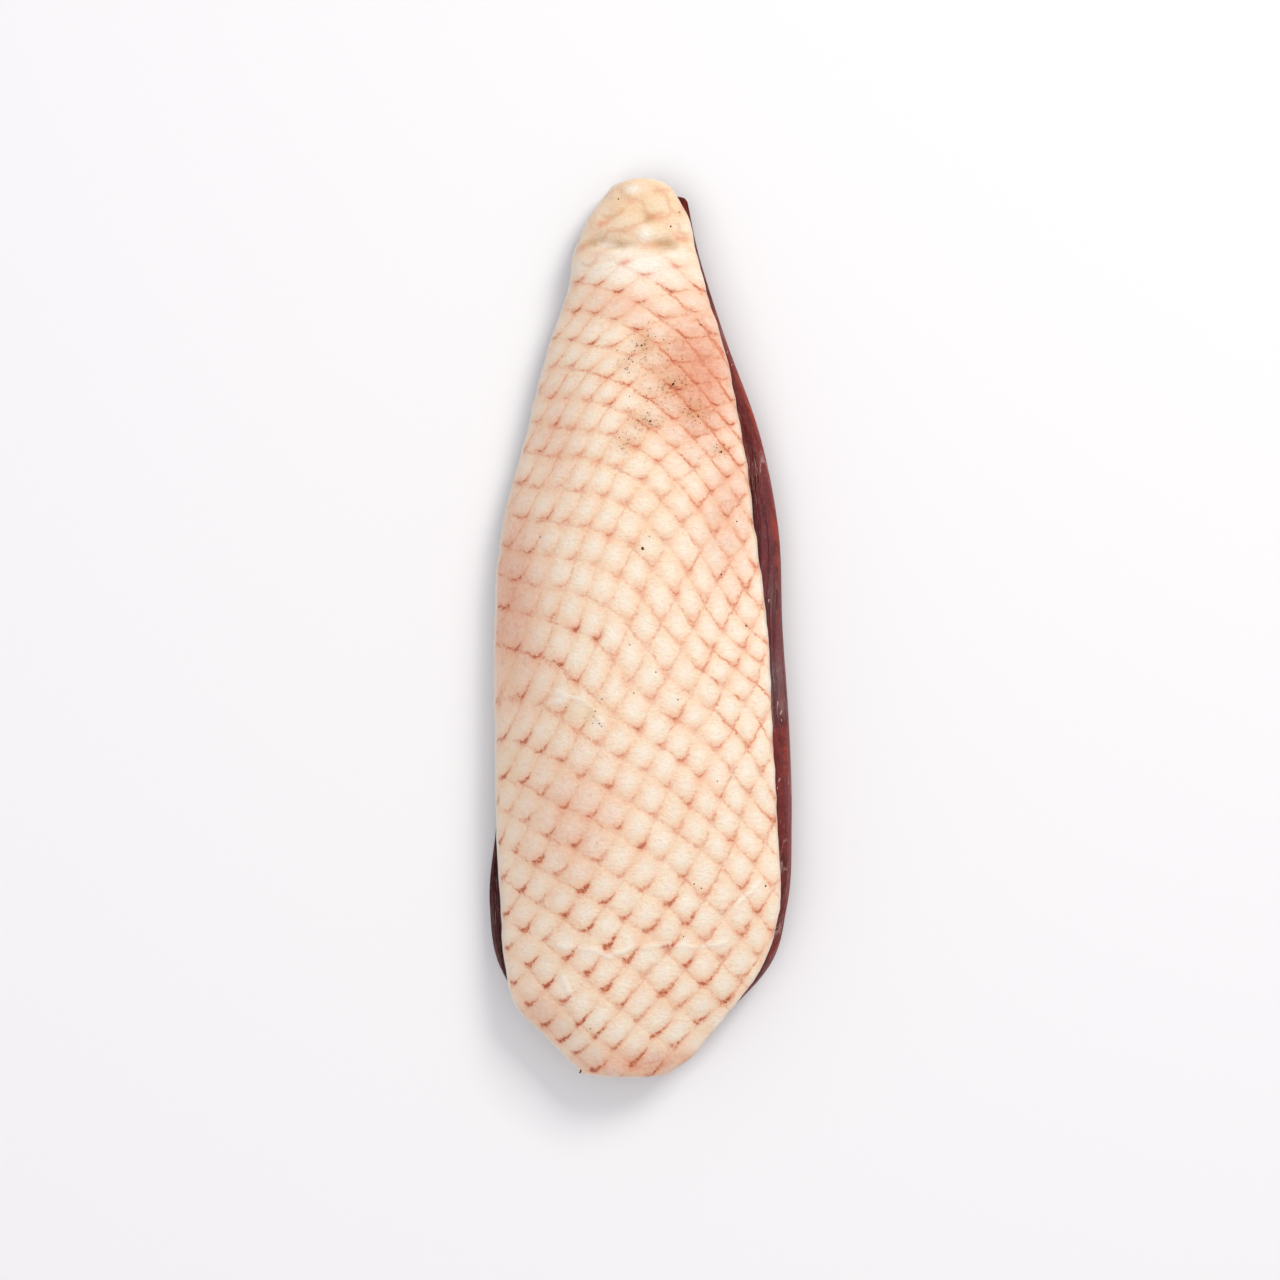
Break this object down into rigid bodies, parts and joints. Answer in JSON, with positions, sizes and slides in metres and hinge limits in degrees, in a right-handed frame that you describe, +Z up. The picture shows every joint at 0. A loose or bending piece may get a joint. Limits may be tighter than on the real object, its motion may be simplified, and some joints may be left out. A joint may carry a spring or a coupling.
{
  "type": "dried duck breast",
  "caption": "Whole dried duck breast lying skin side up: a cream skin and fat layer quilted by feather follicles over dark lean meat.",
  "frame": {"origin": "on the table under the middle of the bounding box", "axes": "+Y from the broad tail to the narrow tip, +Z up out of the skin, +X towards the long side that shows the lean"},
  "size_m": [0.0782, 0.2306, 0.0288],
  "materials": {
    "skin_and_fat": "waxy cream skin with salmon follicle furrows",
    "breast_meat": "dark maroon dried lean, slightly moist"
  },
  "bodies": {
    "root": {"skin_and_fat": "skin_and_fat", "breast_meat": "breast_meat"}
  },
  "joints": []
}
